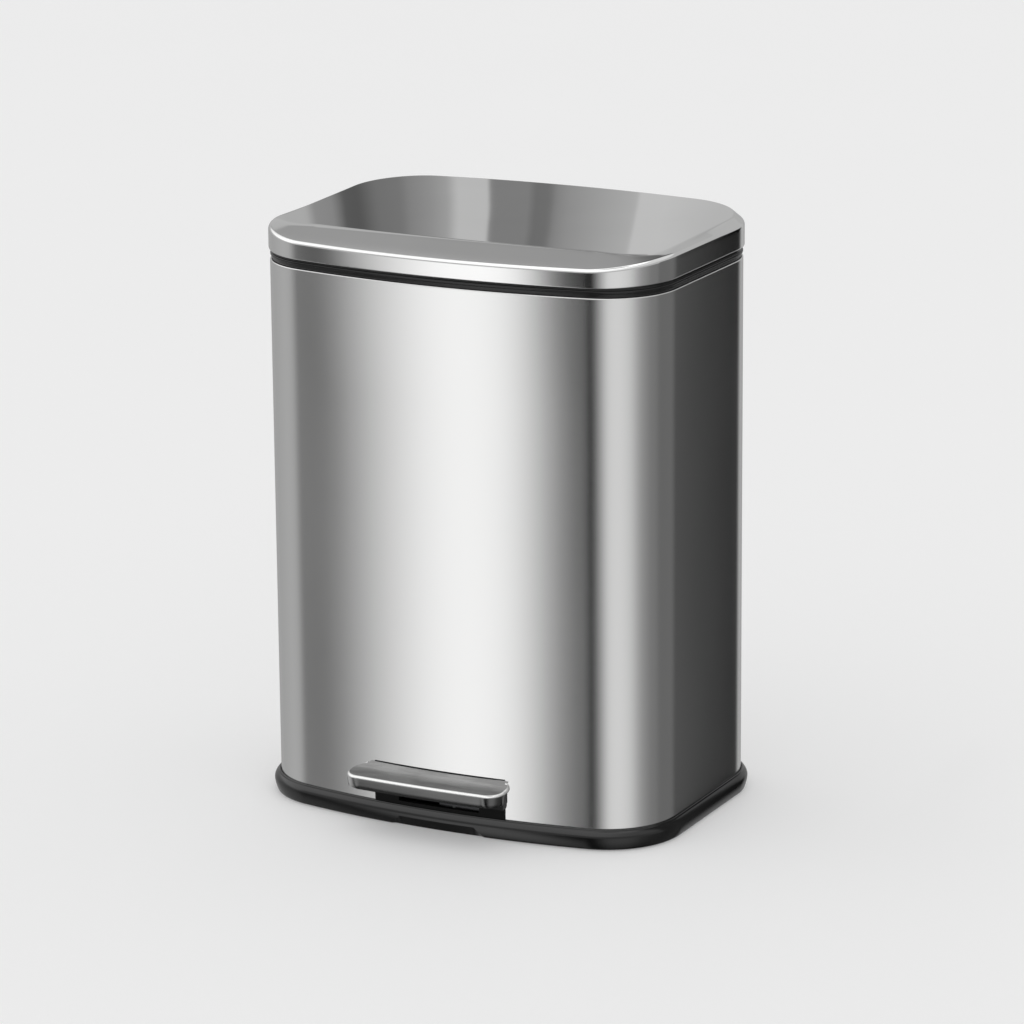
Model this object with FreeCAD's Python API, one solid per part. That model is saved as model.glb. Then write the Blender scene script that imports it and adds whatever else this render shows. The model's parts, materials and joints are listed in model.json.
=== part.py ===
"""Pedal bin with a bow-fronted steel body, a hinged steel lid and a lift-out bucket.

Millimetres. X runs across the bin, -Y is the pedal side, +Z is up. The origin is on the
floor, under the middle of the bin's overall length and width. Each function below makes
one sub-part where it sits with the lid shut, and the last lines write them all.
"""
import FreeCAD, Part
import math
import os

from FreeCAD import Vector

os.makedirs("parts", exist_ok=True)

# ---- body, seen from above: straight sides and back, bowed front, round corners ----
WIDTH = 350.0
DEPTH = 240.6
BOW_RADIUS = 693.0
FRONT_CORNER = 59.5
BACK_CORNER = 58.0
PEDAL_REACH = 35.2              # pedal edge ahead of the body
HINGE_REACH = 11.4              # hinge knuckles behind the body
FRONT = PEDAL_REACH - (PEDAL_REACH + DEPTH + HINGE_REACH) / 2
BACK = FRONT + DEPTH

# ---- heights ----
BASE_BOTTOM = 1.0
BASE_TOP = 17.0
FLOOR_UNDER = 2.5
FLOOR_TOP = 5.0
SHELL_BOTTOM = 9.0
SHELL_TOP = 442.6
RIM_TOP = 451.0
LID_LOW = 451.5
LID_FOLD = 463.0                # where the lid's skirt starts to turn in
LID_BEVEL = 467.0               # where the bevel starts
PLATEAU_FRONT = 473.6           # front and back edges of the raised top
PLATEAU_BACK = 478.8
LID_TOP = 481.0
LINER_UNDER = 462.0
LINER_TOP = 464.0
SHELF_TOP = 418.0

# ---- sheet and wall thicknesses ----
SHEET = 0.6
LID_SHEET = 0.7
HEM = 2.0
PLASTIC = 2.0

# ---- lid hinge and its crank ----
HINGE_Y = BACK + 5.8
HINGE_Z = 447.0
KNUCKLE_R = HINGE_REACH - 5.8
HINGE_PIN_R = 2.5
RUNNING = 0.05                  # radial play of a pin in its moving part
LID_TRAVEL = math.radians(76.0)
CRANK_R = 24.0
ROD_Y = HINGE_Y - CRANK_R * math.cos(LID_TRAVEL / 2)
CRANK_DROP = CRANK_R * math.sin(LID_TRAVEL / 2)
ROD_RISE = 2 * CRANK_DROP

# ---- push rod ----
ROD_R = 2.5
ROD_X = -8.0
HOOK_END = 7.0
HOOK_BEND = 5.0
ROD_TOP = HINGE_Z - CRANK_DROP
GUIDE_R = 3.0

# ---- pedal lever ----
PIVOT_Y = -44.4
PIVOT_Z = 27.0
PIVOT_PIN_R = 3.0
ROD_FOOT = PIVOT_Z - CRANK_DROP

# ---- pedal ----
PEDAL_HALF = 66.5
PEDAL_BACK_HALF = 60.8
PEDAL_GAP = 1.5                 # between the pedal and the shell behind it
PEDAL_TILT = math.tan(math.radians(5.0))
PEDAL_TOP = 49.5                # top face at the shell
PEDAL_SKIRT = 10.2
PEDAL_SHEET = 1.0
SKIRT_END = FRONT - 18.0        # the steel skirt stops here, and the core shows behind it
NECK_HALF = 30.0

# ---- cut-out in the shell for the pedal ----
SLOT_HALF = 58.5
SLOT_TOP = 50.5
MOUTH_HALF = 36.0

# ---- bucket and its bail ----
BUCKET_BACK = 106.0
BAIL_Z = 430.0
BAIL_R = 2.0
BAIL_X = 163.5
BAIL_FRONT = -88.0
EAR_INNER = 156.0
EAR_OUTER = 160.0

FEET = {
    "foot_front_left": (-125.0, -50.0),
    "foot_front_right": (125.0, -50.0),
    "foot_rear_left": (-130.0, 90.0),
    "foot_rear_right": (130.0, 90.0),
}


def outline(inset, z=0.0, front=None, side=None, back=None, slope=0.0):
    """Closed wire parallel to the body's outline, `inset` inside it.

    front, side and back give single edges an inset of their own. slope tilts the wire:
    it rises by that much per millimetre from front to back.
    """
    front_in = inset if front is None else front
    side_in = inset if side is None else side
    back_in = inset if back is None else back
    half = WIDTH / 2 - side_in
    front_y = FRONT + front_in
    back_y = BACK - back_in
    bow = BOW_RADIUS - front_in
    front_r = FRONT_CORNER - inset
    back_r = BACK_CORNER - inset

    bow_y = front_y + bow
    corner_x = half - front_r
    corner_y = bow_y - math.sqrt((bow - front_r) ** 2 - corner_x ** 2)
    turn = math.atan2(bow_y - corner_y, corner_x)
    join = (bow * math.cos(turn), bow_y - bow * math.sin(turn))
    knee = (corner_x + front_r * math.cos(turn / 2), corner_y - front_r * math.sin(turn / 2))
    lean = back_r * math.sqrt(0.5)
    heel = (half - back_r + lean, back_y - back_r + lean)

    def at(x, y):
        return Vector(x, y, z + slope * (y - front_y))

    def bend(start, middle, end):
        return Part.Arc(at(*start), at(*middle), at(*end)).toShape()

    def run(start, end):
        return Part.makeLine(at(*start), at(*end))

    edges = [
        bend(join, knee, (half, corner_y)),
        run((half, corner_y), (half, back_y - back_r)),
        bend((half, back_y - back_r), heel, (half - back_r, back_y)),
        run((half - back_r, back_y), (back_r - half, back_y)),
        bend((back_r - half, back_y), (-heel[0], heel[1]), (-half, back_y - back_r)),
        run((-half, back_y - back_r), (-half, corner_y)),
        bend((-half, corner_y), (-knee[0], knee[1]), (-join[0], join[1])),
        bend((-join[0], join[1]), (0.0, front_y), join),
    ]
    return Part.Wire(edges)


def prism(wire, height):
    return Part.Face(wire).extrude(Vector(0, 0, height))


def band(outer, inner, low, high):
    """Upright wall between two insets of the body's outline."""
    return prism(outline(outer, low), high - low).cut(prism(outline(inner, low), high - low))


def box(x0, x1, y0, y1, z0, z1):
    return Part.makeBox(x1 - x0, y1 - y0, z1 - z0, Vector(x0, y0, z0))


def rod_x(radius, x0, x1, y, z):
    """Round bar along X."""
    return Part.makeCylinder(radius, x1 - x0, Vector(x0, y, z), Vector(1, 0, 0))


def plate_x(points, x0, x1):
    """Plate of thickness x1 - x0 whose outline is a list of (y, z) corners."""
    corners = [Vector(x0, y, z) for y, z in points]
    return Part.Face(Part.makePolygon(corners + corners[:1])).extrude(Vector(x1 - x0, 0, 0))


def fuse(shapes):
    first, rest = shapes[0], shapes[1:]
    return first.multiFuse(rest).removeSplitter() if rest else first


def screw(head, direction, shank_r, length, head_r=3.4, head_h=2.0):
    """Pan-head screw: `head` is the point under its head, and the shank runs along direction."""
    along = Vector(*direction)
    shank = Part.makeCylinder(shank_r, length, head, along)
    cap = Part.makeCylinder(head_r, head_h, head - along * head_h, along)
    return shank.fuse(cap).removeSplitter()


def mirrored(points):
    """Each point, and its mirror image across the bin's middle."""
    return [(side * x, y) for x, y in points for side in (-1, 1)]


# ---------------------------------------------------------------- steel body and base

def outer_shell():
    """Steel tube with a thick rolled hem at its top edge and a cut-out for the pedal."""
    tube = band(0.0, SHEET, SHELL_BOTTOM, SHELL_TOP)
    hem = band(0.0, HEM, SHELL_TOP - HEM, SHELL_TOP)
    cut_out = box(-SLOT_HALF, SLOT_HALF, FRONT - 5, FRONT + 12, SHELL_BOTTOM - 1, SLOT_TOP)
    shell = tube.fuse(hem).cut(cut_out).removeSplitter()
    return shell.cut(hinge_screws())


def base():
    """Plastic tray: a rounded bumper outside the shell, a floor, and a collar inside it."""
    bumper_profile = [
        (1.0, 3.2), (3.0, 4.8), (6.0, 5.5), (10.5, 5.5), (13.0, 4.6), (15.5, 2.6), (BASE_TOP, 0.9),
    ]
    bumper = Part.makeLoft([outline(-out, z) for z, out in bumper_profile], True, True)
    well = prism(outline(3.0, FLOOR_TOP), 40.0)
    groove = band(0.0, SHEET, SHELL_BOTTOM, BASE_TOP + 1)
    collar = band(SHEET, 3.0, BASE_TOP - 1, 34.0)
    underside = prism(outline(2.0, 0.0), FLOOR_UNDER)
    slot_relief = box(-64.5, 64.5, FRONT - 1, FRONT + 20, BASE_TOP, 40.0)
    notch_x, notch_top, notch_slant = 41.0, 9.0, 8.0
    notch_corners = [(-notch_x, 0), (notch_slant - notch_x, notch_top)]
    notch_corners += [(notch_x - notch_slant, notch_top), (notch_x, 0)]
    notch_wire = Part.makePolygon([Vector(x, FRONT - 8, z) for x, z in notch_corners + notch_corners[:1]])
    notch = Part.Face(notch_wire).extrude(Vector(0, 9, 0))
    tray = bumper.cut(well).cut(groove).fuse(collar).cut(underside).cut(slot_relief).cut(notch)
    return tray.cut(pivot_rivets()).removeSplitter()


def foot(x, y):
    """Rubber pad under the tray."""
    return Part.makeCylinder(9.0, FLOOR_UNDER, Vector(x, y, 0))


def pedal_slot_bezel():
    """Plastic frame that lines the shell's cut-out."""
    play = 0.2
    face = band(-0.8, SHEET, BASE_TOP, SLOT_TOP - play)
    face = face.common(box(play - SLOT_HALF, SLOT_HALF - play, FRONT - 3, FRONT + 10, BASE_TOP, SLOT_TOP))
    flange = band(SHEET, 3.0, BASE_TOP, SLOT_TOP + 4)
    flange = flange.common(box(-64.0, 64.0, FRONT - 3, FRONT + 12, BASE_TOP, SLOT_TOP + 4))
    mouth = box(-MOUTH_HALF, MOUTH_HALF, FRONT - 5, FRONT + 12, BASE_TOP + 3.0, SLOT_TOP - 2.0)
    return face.fuse(flange).cut(mouth).removeSplitter()


def pivot_bracket():
    """Folded steel bracket whose two ears hold the lever's pin."""
    foot_plate = box(-26.0, 26.0, PIVOT_Y - 14, PIVOT_Y + 14, FLOOR_TOP, FLOOR_TOP + 2)
    ears = [
        box(side - 1.0, side + 1.0, PIVOT_Y - 8, PIVOT_Y + 8, FLOOR_TOP + 1, PIVOT_Z + 7)
        for side in (-16.0, 16.0)
    ]
    bracket = fuse([foot_plate] + ears)
    return bracket.cut(pivot_pin()).cut(pivot_rivets())


def pivot_pin():
    return rod_x(PIVOT_PIN_R, -20.0, 20.0, PIVOT_Y, PIVOT_Z)


def pivot_rivets():
    """Four rivets through the bracket and the tray's floor."""
    places = mirrored([(21.5, PIVOT_Y - 9.0), (21.5, PIVOT_Y + 9.0)])
    head_z = FLOOR_TOP + 2.0
    down = (0, 0, -1)
    return Part.makeCompound([screw(Vector(x, y, head_z), down, 1.6, 4.0, 3.0, 1.2) for x, y in places])


def lever_rest_pad():
    """Rubber block on the floor that the lever's long arm comes down on."""
    return box(-7.0, 7.0, 72.0, 84.0, FLOOR_TOP, FLOOR_TOP + 3.6)


# ---------------------------------------------------------------- plastic rim and hinge

def top_rim():
    """Plastic ring in the mouth of the shell, with a bead outside and a shelf for the bucket."""
    lower_band = band(1.4, 3.0, SHELL_TOP, RIM_TOP)
    bead = band(0.2, 3.0, 445.2, 448.8)
    collar = band(HEM + 0.1, 4.3, SHELF_TOP - 8, SHELL_TOP)
    neck = band(HEM + 0.1, 4.3, SHELL_TOP, 446.0)
    shelf = prism(outline(HEM + 0.1, SHELF_TOP - 3), 3.0)
    shelf = shelf.cut(prism(outline(13.5, SHELF_TOP - 4, back=BACK - 101.0), 5.0))
    rim = fuse([lower_band, bead, collar, neck, shelf])
    crank_slot = box(-7.5, 9.0, BACK - 8, BACK + 1, SHELF_TOP + 2, RIM_TOP + 1)
    bush_hole = Part.makeCylinder(5.0, 10.0, Vector(ROD_X, ROD_Y, SHELF_TOP - 6))
    return rim.cut(crank_slot).cut(bush_hole).cut(hinge_screws()).removeSplitter()


def rod_bush():
    """Flanged plastic bush that steadies the rod where it passes the shelf."""
    sleeve = Part.makeCylinder(5.0, 6.0, Vector(ROD_X, ROD_Y, SHELF_TOP - 6))
    flange = Part.makeCylinder(6.5, 3.0, Vector(ROD_X, ROD_Y, SHELF_TOP - 6))
    hole = Part.makeCylinder(GUIDE_R, 10.0, Vector(ROD_X, ROD_Y, SHELF_TOP - 8))
    return sleeve.fuse(flange).cut(hole).removeSplitter()


def rod_guide(z):
    """Plastic clip on the shell's back wall that the rod slides through."""
    block = box(ROD_X - 9, ROD_X + 9, ROD_Y - 6, BACK - SHEET, z, z + 8)
    return block.cut(Part.makeCylinder(GUIDE_R, 12.0, Vector(ROD_X, ROD_Y, z - 2)))


def hinge_housing():
    """Plastic block behind the shell with three knuckles for the hinge pin."""
    plate = box(-50.0, 50.0, BACK, BACK + 3.6, 405.0, 441.0)
    parts = [plate]
    for x0, x1 in ((-48.0, -36.0), (-16.0, 16.0), (36.0, 48.0)):
        corners = [(BACK, 441.0), (BACK, HINGE_Z), (HINGE_Y, HINGE_Z + KNUCKLE_R)]
        corners += [(HINGE_Y + KNUCKLE_R, HINGE_Z), (HINGE_Y + KNUCKLE_R, 440.0), (BACK + 3.6, 425.0)]
        corners += [(BACK, 425.0)]
        parts.append(plate_x(corners, x0, x1))
        parts.append(rod_x(KNUCKLE_R, x0, x1, HINGE_Y, HINGE_Z))
    return fuse(parts).cut(hinge_pin()).cut(hinge_screws())


def hinge_pin():
    return rod_x(HINGE_PIN_R, -49.0, 49.0, HINGE_Y, HINGE_Z)


def hinge_screws():
    """Four screws that clamp the shell between the housing and the rim."""
    places = [(x, z) for x in (-43.0, -26.0, 26.0, 43.0) for z in (415.0,)]
    places += [(x, 432.0) for x in (-26.0, 26.0)]
    inward = (0, -1, 0)
    return Part.makeCompound([screw(Vector(x, BACK + 3.6, z), inward, 1.7, 8.0) for x, z in places])


# ---------------------------------------------------------------- lid

def lid_form(skin):
    """Solid lid, shrunk by `skin` on every side but its open bottom."""
    low = LID_LOW - (1.0 if skin else 0.0)
    edge = -1.0 + skin
    skirt = prism(outline(edge, low), LID_FOLD - skin - low)
    rise = (PLATEAU_BACK - PLATEAU_FRONT) / (DEPTH - 27.0)
    crown_front = LID_TOP - rise * (DEPTH - 95.0)
    top = Part.makeLoft([
        outline(edge, LID_FOLD - skin),
        outline(3.0 + skin, LID_BEVEL - skin),
        outline(10.0 + skin, PLATEAU_FRONT - skin, front=20.0, side=10.0, back=7.0 + skin, slope=rise),
        outline(45.0, crown_front - skin, front=60.0, side=50.0, back=35.0, slope=rise),
    ], True, True)
    return fuse([skirt, top])


def lid_cover():
    """Pressed steel cap, notched at the back for the hinge."""
    cover = lid_form(0.0).cut(lid_form(LID_SHEET))
    return cover.cut(box(-52.0, 52.0, BACK - 8, BACK + 4, LID_LOW - 1, 460.0)).removeSplitter()


def lid_liner():
    """Plastic inner lid: a flat panel with a skirt just inside the steel one."""
    fit = LID_SHEET - 1.0 + 0.15
    panel = prism(outline(3.2, LINER_UNDER), LINER_TOP - LINER_UNDER)
    skirt = band(fit, fit + PLASTIC, RIM_TOP + 1.0, LINER_UNDER)
    flange = prism(outline(fit, LINER_UNDER - PLASTIC), PLASTIC)
    flange = flange.cut(prism(outline(6.0, LINER_UNDER - PLASTIC), PLASTIC))
    liner = fuse([panel, skirt, flange])
    arm_notch = box(-40.0, 40.0, BACK - 9, BACK + 2, LID_LOW - 1, LINER_UNDER - 0.0)
    return liner.cut(arm_notch).cut(bracket_screws()).removeSplitter()


def lid_hinge_bracket():
    """Plastic bracket under the liner: two arms to the pin, and a slotted crank for the rod."""
    plate = box(-38.0, 38.0, 98.0, BACK - 4, LINER_UNDER - 5, LINER_UNDER)
    parts = [plate]
    arm = [(118.0, 452.2), (133.4, 452.2), (133.4, HINGE_Z), (HINGE_Y + KNUCKLE_R, HINGE_Z)]
    arm += [(HINGE_Y + KNUCKLE_R, 449.5), (HINGE_Y, 459.0), (118.0, 459.0)]
    for x0, x1 in ((-34.0, -18.0), (18.0, 34.0)):
        parts.append(plate_x(arm, x0, x1))
        parts.append(rod_x(KNUCKLE_R, x0, x1, HINGE_Y, HINGE_Z))

    drop = -LID_TRAVEL / 2
    near = crank_point(CRANK_R * math.cos(drop), drop)
    far = crank_point(CRANK_R, drop)
    wall_r, slot_r = 6.2, 3.7
    web = [(near[0] + 5.5, near[1] + 3), (near[0] + 5.5, LINER_UNDER - 2), (111.0, LINER_UNDER - 2)]
    web += [(111.0, far[1]), (far[0], far[1] - wall_r + 0.5)]
    parts.append(plate_x(web, -3.0, 3.0))
    parts.append(rod_x(wall_r, -3.0, 3.0, *near))
    parts.append(rod_x(wall_r, -3.0, 3.0, *far))
    bracket = fuse(parts)
    bore = rod_x(HINGE_PIN_R + RUNNING, -60.0, 60.0, HINGE_Y, HINGE_Z)
    slot = fuse([rod_x(slot_r, -4.0, 4.0, *near), rod_x(slot_r, -4.0, 4.0, *far), crank_bar(near, far, slot_r)])
    return bracket.cut(bore).cut(slot).cut(bracket_screws()).removeSplitter()


def crank_point(radius, angle):
    """(y, z) at a radius from the hinge pin, `angle` above the level line to the front."""
    return (HINGE_Y - radius * math.cos(angle), HINGE_Z + radius * math.sin(angle))


def crank_bar(near, far, half):
    """Flat-sided middle of the crank's slot, between its two round ends."""
    length = math.hypot(far[0] - near[0], far[1] - near[1])
    side_y = -(far[1] - near[1]) / length * half
    side_z = (far[0] - near[0]) / length * half
    corners = [(near[0] + side_y, near[1] + side_z), (far[0] + side_y, far[1] + side_z)]
    corners += [(far[0] - side_y, far[1] - side_z), (near[0] - side_y, near[1] - side_z)]
    return plate_x(corners, -4.0, 4.0)


def bracket_screws():
    """Four screws that hold the hinge bracket to the liner."""
    places = mirrored([(33.0, 103.0), (33.0, 115.0)])
    up = (0, 0, 1)
    return Part.makeCompound([screw(Vector(x, y, LINER_UNDER - 5), up, 1.7, 6.2) for x, y in places])


def lid_pad(side):
    """Soft stop under the liner's skirt that lands on the rim."""
    fit = LID_SHEET - 1.0 + 0.15
    strip = band(fit + 0.2, fit + PLASTIC - 0.1, RIM_TOP + 0.1, RIM_TOP + 1.0)
    return strip.common(box(side * 110 - 9, side * 110 + 9, FRONT - 5, FRONT + 40, 440.0, 460.0))


# ---------------------------------------------------------------- pedal, lever and rod

def pedal_plan(inset, z):
    """The pedal seen from above: a D with full front corners, narrowing towards the shell."""
    flare_y, corner_y = FRONT - 10.0, FRONT - 18.0
    front_y = FRONT - PEDAL_REACH + inset
    half = PEDAL_HALF - inset

    def bend(*points):
        return Part.Arc(*[Vector(x, y, z) for x, y in points]).toShape()

    back_x = PEDAL_BACK_HALF - inset
    back_y = FRONT + 6.0
    rear = (back_x, FRONT - 1.0)
    flare = (half - 1.0, flare_y)
    side = (half, corner_y)
    knee = (half - 3.4, FRONT - 29.9 + inset * 0.7)
    toe = (half - 14.5, FRONT - 34.0 + inset)
    edges = [bend(rear, flare, side), bend(side, knee, toe), bend(toe, (0.0, front_y), (-toe[0], toe[1]))]
    edges += [bend((-toe[0], toe[1]), (-knee[0], knee[1]), (-side[0], side[1]))]
    edges += [bend((-side[0], side[1]), (-flare[0], flare[1]), (-rear[0], rear[1]))]
    corners = [(-rear[0], rear[1]), (-back_x, back_y), (back_x, back_y), rear]
    edges += [Part.makeLine(Vector(*a, z), Vector(*b, z)) for a, b in zip(corners, corners[1:])]
    return Part.Wire(edges)


def pedal_slab(inset, top, thickness):
    """Part of the pedal's plan between two planes that slope down to its front edge."""
    front_drop = PEDAL_TILT * 60.0
    profile = [(FRONT + 10, top + PEDAL_TILT * 10), (FRONT - 60, top - front_drop)]
    profile += [(FRONT - 60, top - front_drop - thickness), (FRONT + 10, top + PEDAL_TILT * 10 - thickness)]
    slab = prism(pedal_plan(inset, 10.0), 60.0).common(plate_x(profile, -80.0, 80.0))
    return slab.cut(prism(outline(-PEDAL_GAP, 0.0), 100.0))


def pedal_plate():
    """Pressed steel tread with a skirt round its front and its front corners."""
    form = pedal_slab(0.0, PEDAL_TOP, PEDAL_SKIRT)
    inside = pedal_slab(PEDAL_SHEET, PEDAL_TOP - PEDAL_SHEET, PEDAL_SKIRT + 5)
    behind = pedal_slab(-3.0, PEDAL_TOP - PEDAL_SHEET, PEDAL_SKIRT + 5)
    behind = behind.common(box(-90, 90, SKIRT_END, FRONT + 20, 0, 80))
    return form.cut(inside).cut(behind).removeSplitter()


def pedal_core():
    """Plastic body under the tread, with a neck that passes through the shell."""
    fit = 0.1
    front_half = pedal_slab(PEDAL_SHEET + fit, PEDAL_TOP - PEDAL_SHEET, PEDAL_SKIRT - 1.4)
    rear_half = pedal_slab(0.0, PEDAL_TOP - PEDAL_SHEET, 17.0)
    rear_half = rear_half.common(box(-90, 90, SKIRT_END + fit, FRONT + 20, 32.0, 80))
    neck = box(-NECK_HALF, NECK_HALF, FRONT - 12, FRONT + 26, 35.0, 45.0)
    core = fuse([front_half, rear_half, neck])
    return core.cut(pedal_lever()).cut(pedal_screws()).removeSplitter()


def pedal_screws():
    """Two screws up through the neck and the lever."""
    up = (0, 0, 1)
    return Part.makeCompound([screw(Vector(x, FRONT + 17, 35.0), up, 2.0, 9.0) for x in (-8.0, 8.0)])


def pedal_lever():
    """Steel lever: a flat tongue in the pedal, a pivot tube, and an upright arm to the rod."""
    half, low, high = 13.0, 38.5, 41.5
    tongue = box(-half, half, FRONT - 22, FRONT + 34, low, high)
    ramp_corners = [(FRONT + 30, high), (FRONT + 34, high), (PIVOT_Y + 2, PIVOT_Z + 6)]
    ramp_corners += [(PIVOT_Y - 4, PIVOT_Z + 3), (FRONT + 32, low), (FRONT + 30, low)]
    ramp = plate_x(ramp_corners, -half, half)
    tube = rod_x(6.5, -14.0, 14.0, PIVOT_Y, PIVOT_Z)
    depth, heel = 6.2, 6.5
    arm_corners = [(PIVOT_Y, PIVOT_Z + depth), (ROD_Y, ROD_FOOT + depth), (ROD_Y, ROD_FOOT - depth)]
    arm_corners += [(PIVOT_Y, PIVOT_Z - depth)]
    arm = plate_x(arm_corners, -2.0, 2.0)
    eye = rod_x(heel, -2.0, 2.0, ROD_Y, ROD_FOOT)
    lever = fuse([tongue, ramp, tube, arm, eye])
    bore = rod_x(PIVOT_PIN_R + RUNNING, -20.0, 20.0, PIVOT_Y, PIVOT_Z)
    eye_hole = rod_x(ROD_R + 0.7, -5.0, 5.0, ROD_Y, ROD_FOOT)
    return lever.cut(bore).cut(eye_hole).cut(pedal_screws()).removeSplitter()


def push_rod():
    """Steel wire up the back of the bin, with a hook bent across at each end."""
    def at(x, z):
        return Vector(x, ROD_Y, z)

    quarter = HOOK_BEND * (1 - math.sqrt(0.5))
    bent = ROD_X + HOOK_BEND
    low_bend = Part.Arc(at(bent, ROD_FOOT), at(ROD_X + quarter, ROD_FOOT + quarter), at(ROD_X, ROD_FOOT + HOOK_BEND))
    top_bend = Part.Arc(at(ROD_X, ROD_TOP - HOOK_BEND), at(ROD_X + quarter, ROD_TOP - quarter), at(bent, ROD_TOP))
    path = Part.Wire([
        Part.makeLine(at(HOOK_END, ROD_FOOT), at(bent, ROD_FOOT)),
        low_bend.toShape(),
        Part.makeLine(at(ROD_X, ROD_FOOT + HOOK_BEND), at(ROD_X, ROD_TOP - HOOK_BEND)),
        top_bend.toShape(),
        Part.makeLine(at(bent, ROD_TOP), at(HOOK_END, ROD_TOP)),
    ])
    section = Part.Wire(Part.makeCircle(ROD_R, at(HOOK_END, ROD_FOOT), Vector(1, 0, 0)))
    return path.makePipeShell([section], True, False)


def rod_clips():
    """Push-on clips that keep the hooks in the crank and in the lever."""
    clips = []
    for x0, z in ((4.0, ROD_TOP), (3.0, ROD_FOOT)):
        clips.append(rod_x(4.6, x0, x0 + 1.5, ROD_Y, z).cut(rod_x(ROD_R, x0 - 1, x0 + 3, ROD_Y, z)))
    return Part.makeCompound(clips)


# ---------------------------------------------------------------- bucket

def inner_bucket():
    """Tapered plastic bucket that hangs on the rim's shelf by its flange."""
    flange_low = SHELF_TOP + 0.2
    flange_high = flange_low + 2.8
    floor_z = 58.0
    taper = 9.0
    mouth_in, back_in = 15.0, BACK - 99.5

    def level(z, extra):
        share = (flange_high - z) / (flange_high - floor_z)
        inset = mouth_in + taper * share + extra
        return outline(inset, z, back=back_in + taper * share + extra)

    outside = Part.makeLoft([level(floor_z, 0.0), level(flange_high, 0.0)], True, True)
    inside = Part.makeLoft([level(floor_z + 2.5, PLASTIC), level(flange_high + 1, PLASTIC)], True, True)
    flange = prism(outline(8.0, flange_low, back=BACK - BUCKET_BACK), flange_high - flange_low)
    ears = []
    for side in (-1, 1):
        x0, x1 = sorted((side * EAR_INNER, side * EAR_OUTER))
        ears.append(box(x0, x1, -7.0, 7.0, flange_low, BAIL_Z + 6))
    bucket = fuse([outside, flange] + ears).cut(inside)
    return bucket.cut(rod_x(BAIL_R + 0.3, -200.0, 200.0, 0.0, BAIL_Z)).removeSplitter()


def bucket_bail():
    """Steel wire handle, lying forward on the bucket's flange."""
    elbow, bend_r = 4.0, 40.0
    slant = 1 - math.sqrt(0.5)

    def at(x, y):
        return Vector(x, y, BAIL_Z)

    def half_path(side):
        root = Part.makeLine(at(side * 154.0, 0), at(side * (BAIL_X - elbow), 0))
        knuckle = Part.Arc(
            at(side * (BAIL_X - elbow), 0),
            at(side * (BAIL_X - elbow * slant), -elbow * slant),
            at(side * BAIL_X, -elbow),
        ).toShape()
        leg = Part.makeLine(at(side * BAIL_X, -elbow), at(side * BAIL_X, BAIL_FRONT + bend_r))
        corner = Part.Arc(
            at(side * BAIL_X, BAIL_FRONT + bend_r),
            at(side * (BAIL_X - bend_r * slant), BAIL_FRONT + bend_r * slant),
            at(side * (BAIL_X - bend_r), BAIL_FRONT),
        ).toShape()
        return [root, knuckle, leg, corner]

    front = Part.makeLine(at(bend_r - BAIL_X, BAIL_FRONT), at(BAIL_X - bend_r, BAIL_FRONT))
    path = Part.Wire(Part.__sortEdges__(half_path(-1) + [front] + half_path(1)))
    section = Part.Wire(Part.makeCircle(BAIL_R, at(-154.0, 0), Vector(1, 0, 0)))
    return path.makePipeShell([section], True, False)


def bail_grip():
    """Plastic sleeve on the middle of the bail."""
    sleeve = rod_x(4.5, -45.0, 45.0, BAIL_FRONT, BAIL_Z)
    return sleeve.cut(rod_x(BAIL_R, -50.0, 50.0, BAIL_FRONT, BAIL_Z))


nodes = {
    "outer_shell": outer_shell(),
    "base": base(),
    "pedal_slot_bezel": pedal_slot_bezel(),
    "pivot_bracket": pivot_bracket(),
    "pivot_pin": pivot_pin(),
    "pivot_rivets": pivot_rivets(),
    "lever_rest_pad": lever_rest_pad(),
    "top_rim": top_rim(),
    "rod_bush": rod_bush(),
    "rod_guide_lower": rod_guide(120.0),
    "rod_guide_upper": rod_guide(290.0),
    "hinge_housing": hinge_housing(),
    "hinge_pin": hinge_pin(),
    "hinge_screws": hinge_screws(),
    "lid_cover": lid_cover(),
    "lid_liner": lid_liner(),
    "lid_hinge_bracket": lid_hinge_bracket(),
    "bracket_screws": bracket_screws(),
    "lid_pad_left": lid_pad(-1),
    "lid_pad_right": lid_pad(1),
    "pedal_plate": pedal_plate(),
    "pedal_core": pedal_core(),
    "pedal_lever": pedal_lever(),
    "pedal_screws": pedal_screws(),
    "push_rod": push_rod(),
    "rod_clips": rod_clips(),
    "inner_bucket": inner_bucket(),
    "bucket_bail": bucket_bail(),
    "bail_grip": bail_grip(),
}
for name, (x, y) in FEET.items():
    nodes[name] = foot(x, y)

for name, shape in nodes.items():
    shape.exportStep("parts/" + name + ".step")
    extent = shape.BoundBox
    print(name, shape.isValid(), len(shape.Solids), round(shape.Volume / 1000, 2), "cm3",
          [round(v, 1) for v in (extent.XMin, extent.YMin, extent.ZMin, extent.XMax, extent.YMax, extent.ZMax)])
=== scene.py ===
"""A bow-fronted steel pedal bin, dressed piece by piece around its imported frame. Metres, Z up.

Seen from above, every wall of the bin runs parallel to one outline. So most pieces are a
profile of (outset, height) pairs carried round that outline.
"""
import json
import math

import bmesh
import bpy
import numpy as np
from mathutils import Matrix, Vector


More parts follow.
